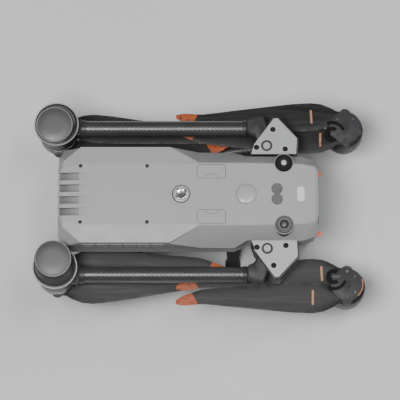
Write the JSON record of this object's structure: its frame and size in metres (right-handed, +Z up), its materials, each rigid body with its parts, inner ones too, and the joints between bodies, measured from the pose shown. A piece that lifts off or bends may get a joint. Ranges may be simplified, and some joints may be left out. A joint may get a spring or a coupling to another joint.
{
  "type": "folding quadcopter drone",
  "caption": "Folded quadcopter with a tapered grey fuselage, high front and low rear folding arms, folding propellers, under-nose gimbal camera and slide-out batteries.",
  "frame": {"origin": "on the ground under the middle of the folded drone's bounding box", "axes": "+X towards the nose and longest, +Y to the drone's left, +Z up"},
  "size_m": [0.3669, 0.2416, 0.195],
  "materials": {
    "shell_grey": "satin",
    "bracket_grey": "satin",
    "black_plastic": "satin",
    "carbon_tube": "satin",
    "blade_black": "satin",
    "dark_metal": "anodised",
    "silver_cap": "brushed",
    "steel_pin": "satin",
    "lens_black": "gloss",
    "board_green": "gloss",
    "battery_grey": "satin"
  },
  "bodies": {
    "fuselage": {"top_shell": "shell_grey", "belly_shell": "black_plastic", "beacon_dome": "shell_grey", "main_board": "board_green", "fpv_camera": "lens_black", "gimbal_mount": "black_plastic", "top_camera_left": "lens_black", "top_camera_right": "lens_black", "front_bracket_left": "bracket_grey", "front_bracket_right": "bracket_grey", "front_hinge_left": "black_plastic", "front_hinge_right": "black_plastic", "rear_bracket_left": "black_plastic", "rear_bracket_right": "black_plastic", "front_fold_pin_left": "steel_pin", "front_fold_pin_right": "steel_pin", "landing_leg_front_left": "black_plastic", "landing_leg_front_right": "black_plastic", "landing_leg_rear_left": "black_plastic", "landing_leg_rear_right": "black_plastic"},
    "front_left_arm": {"front_left_knuckle": "black_plastic", "front_left_tube": "carbon_tube", "front_left_motor_mount": "black_plastic", "front_left_end_cap": "silver_cap"},
    "front_left_rotor": {"front_left_bell": "dark_metal", "front_left_hub": "black_plastic"},
    "front_left_blade_a": {"front_left_blade_a": "blade_black"},
    "front_left_blade_b": {"front_left_blade_b": "blade_black"},
    "front_right_arm": {"front_right_knuckle": "black_plastic", "front_right_tube": "carbon_tube", "front_right_motor_mount": "black_plastic", "front_right_end_cap": "silver_cap"},
    "front_right_rotor": {"front_right_bell": "dark_metal", "front_right_hub": "black_plastic"},
    "front_right_blade_a": {"front_right_blade_a": "blade_black"},
    "front_right_blade_b": {"front_right_blade_b": "blade_black"},
    "rear_left_arm": {"rear_left_knuckle": "black_plastic", "rear_left_tube": "carbon_tube", "rear_left_motor_mount": "black_plastic"},
    "rear_left_rotor": {"rear_left_bell": "dark_metal", "rear_left_hub": "black_plastic"},
    "rear_left_blade_a": {"rear_left_blade_a": "blade_black"},
    "rear_left_blade_b": {"rear_left_blade_b": "blade_black"},
    "rear_right_arm": {"rear_right_knuckle": "black_plastic", "rear_right_tube": "carbon_tube", "rear_right_motor_mount": "black_plastic"},
    "rear_right_rotor": {"rear_right_bell": "dark_metal", "rear_right_hub": "black_plastic"},
    "rear_right_blade_a": {"rear_right_blade_a": "blade_black"},
    "rear_right_blade_b": {"rear_right_blade_b": "blade_black"},
    "gimbal_yaw_arm_body": {"gimbal_yaw_arm": "dark_metal"},
    "gimbal_roll_arm_body": {"gimbal_roll_arm": "dark_metal"},
    "gimbal_camera_body": {"gimbal_camera": "black_plastic"},
    "battery_lock_body": {"battery_lock": "black_plastic"},
    "power_button_body": {"power_button": "silver_cap"},
    "cooling_fan_body": {"cooling_fan": "black_plastic"},
    "battery_left_body": {"battery_left": "battery_grey"},
    "port_cover_left_body": {"port_cover_left": "shell_grey"},
    "battery_right_body": {"battery_right": "battery_grey"},
    "port_cover_right_body": {"port_cover_right": "shell_grey"}
  },
  "joints": [
    {"name": "front_left_fold", "type": "hinge", "parent": "fuselage", "child": "front_left_arm", "pos_m": [0.0737, 0.058, 0.143], "axis": [0, 0, -1], "range_deg": [0, 108]},
    {"name": "front_left_rotor_turn", "type": "hinge", "parent": "front_left_arm", "child": "front_left_rotor", "pos_m": [-0.1584, 0.0803, 0.1362], "axis": [0, 0, 1], "range_deg": [0, 90]},
    {"name": "front_left_blade_a_fold", "type": "hinge", "parent": "front_left_rotor", "child": "front_left_blade_a", "pos_m": [-0.1584, 0.0948, 0.1103], "axis": [0, 0, 1], "range_deg": [0, 94.5]},
    {"name": "front_left_blade_b_fold", "type": "hinge", "parent": "front_left_rotor", "child": "front_left_blade_b", "pos_m": [-0.1584, 0.0658, 0.1103], "axis": [0, 0, 1], "range_deg": [-90, 0]},
    {"name": "front_right_fold", "type": "hinge", "parent": "fuselage", "child": "front_right_arm", "pos_m": [0.0737, -0.058, 0.143], "axis": [0, 0, 1], "range_deg": [0, 108]},
    {"name": "front_right_rotor_turn", "type": "hinge", "parent": "front_right_arm", "child": "front_right_rotor", "pos_m": [-0.1584, -0.0803, 0.1362], "axis": [0, 0, -1], "range_deg": [0, 90]},
    {"name": "front_right_blade_a_fold", "type": "hinge", "parent": "front_right_rotor", "child": "front_right_blade_a", "pos_m": [-0.1584, -0.0948, 0.1103], "axis": [0, 0, -1], "range_deg": [0, 94.5]},
    {"name": "front_right_blade_b_fold", "type": "hinge", "parent": "front_right_rotor", "child": "front_right_blade_b", "pos_m": [-0.1584, -0.0658, 0.1103], "axis": [0, 0, -1], "range_deg": [-90, 0]},
    {"name": "rear_left_fold", "type": "hinge", "parent": "fuselage", "child": "rear_left_arm", "pos_m": [-0.09, 0.054, 0.08], "axis": [0, 0, 1], "range_deg": [0, 104]},
    {"name": "rear_left_rotor_turn", "type": "hinge", "parent": "rear_left_arm", "child": "rear_left_rotor", "pos_m": [0.163, 0.09, 0.0935], "axis": [0, 0, -1], "range_deg": [0, 90]},
    {"name": "rear_left_blade_a_fold", "type": "hinge", "parent": "rear_left_rotor", "child": "rear_left_blade_a", "pos_m": [0.163, 0.1045, 0.1194], "axis": [0, 0, -1], "range_deg": [0, 92.4]},
    {"name": "rear_left_blade_b_fold", "type": "hinge", "parent": "rear_left_rotor", "child": "rear_left_blade_b", "pos_m": [0.163, 0.0755, 0.1194], "axis": [0, 0, -1], "range_deg": [-91.5, 0]},
    {"name": "rear_right_fold", "type": "hinge", "parent": "fuselage", "child": "rear_right_arm", "pos_m": [-0.09, -0.054, 0.08], "axis": [0, 0, -1], "range_deg": [0, 104]},
    {"name": "rear_right_rotor_turn", "type": "hinge", "parent": "rear_right_arm", "child": "rear_right_rotor", "pos_m": [0.163, -0.09, 0.0935], "axis": [0, 0, 1], "range_deg": [0, 90]},
    {"name": "rear_right_blade_a_fold", "type": "hinge", "parent": "rear_right_rotor", "child": "rear_right_blade_a", "pos_m": [0.163, -0.1045, 0.1194], "axis": [0, 0, 1], "range_deg": [0, 90.6]},
    {"name": "rear_right_blade_b_fold", "type": "hinge", "parent": "rear_right_rotor", "child": "rear_right_blade_b", "pos_m": [0.163, -0.0755, 0.1194], "axis": [0, 0, 1], "range_deg": [-93.2, 0]},
    {"name": "gimbal_yaw", "type": "hinge", "parent": "fuselage", "child": "gimbal_yaw_arm_body", "pos_m": [0.096, 0, 0.076], "axis": [0, 0, 1], "range_deg": [-60, 60]},
    {"name": "gimbal_roll", "type": "hinge", "parent": "gimbal_yaw_arm_body", "child": "gimbal_roll_arm_body", "pos_m": [0.0705, 0, 0.042], "axis": [1, 0, 0], "range_deg": [-30, 30]},
    {"name": "gimbal_tilt", "type": "hinge", "parent": "gimbal_roll_arm_body", "child": "gimbal_camera_body", "pos_m": [0.104, 0, 0.042], "axis": [0, 1, 0], "range_deg": [-30, 90]},
    {"name": "battery_lock_turn", "type": "hinge", "parent": "fuselage", "child": "battery_lock_body", "pos_m": [-0.156, 0, 0.16], "axis": [1, 0, 0], "range_deg": [0, 90]},
    {"name": "power_button_press", "type": "slide", "parent": "fuselage", "child": "power_button_body", "axis": [0, 0, -1], "range_m": [0, 0.0015], "stiffness_N_per_m": 400, "springref_m": -0.001},
    {"name": "cooling_fan_spin", "type": "hinge", "parent": "fuselage", "child": "cooling_fan_body", "pos_m": [-0.08, 0, 0.152], "axis": [0, 0, 1], "continuous": true},
    {"name": "battery_left_slide", "type": "slide", "parent": "fuselage", "child": "battery_left_body", "axis": [-1, 0, 0], "range_m": [0, 0.13]},
    {"name": "port_cover_left_lift", "type": "hinge", "parent": "fuselage", "child": "port_cover_left_body", "pos_m": [0.0125, 0.033, 0.1801], "axis": [-1, 0, 0], "range_deg": [0, 90]},
    {"name": "battery_right_slide", "type": "slide", "parent": "fuselage", "child": "battery_right_body", "axis": [-1, 0, 0], "range_m": [0, 0.13]},
    {"name": "port_cover_right_lift", "type": "hinge", "parent": "fuselage", "child": "port_cover_right_body", "pos_m": [0.0125, -0.033, 0.1801], "axis": [1, 0, 0], "range_deg": [0, 90]}
  ],
  "couplings": [
    {"joint": "front_left_blade_a_fold", "follows": "front_left_rotor_turn", "ratio": 1.05},
    {"joint": "front_left_blade_b_fold", "follows": "front_left_rotor_turn", "ratio": -1},
    {"joint": "front_right_blade_a_fold", "follows": "front_right_rotor_turn", "ratio": 1.05},
    {"joint": "front_right_blade_b_fold", "follows": "front_right_rotor_turn", "ratio": -1},
    {"joint": "rear_left_blade_a_fold", "follows": "rear_left_rotor_turn", "ratio": 1.0267},
    {"joint": "rear_left_blade_b_fold", "follows": "rear_left_rotor_turn", "ratio": -1.0167},
    {"joint": "rear_right_blade_a_fold", "follows": "rear_right_rotor_turn", "ratio": 1.0067},
    {"joint": "rear_right_blade_b_fold", "follows": "rear_right_rotor_turn", "ratio": -1.0356}
  ]
}
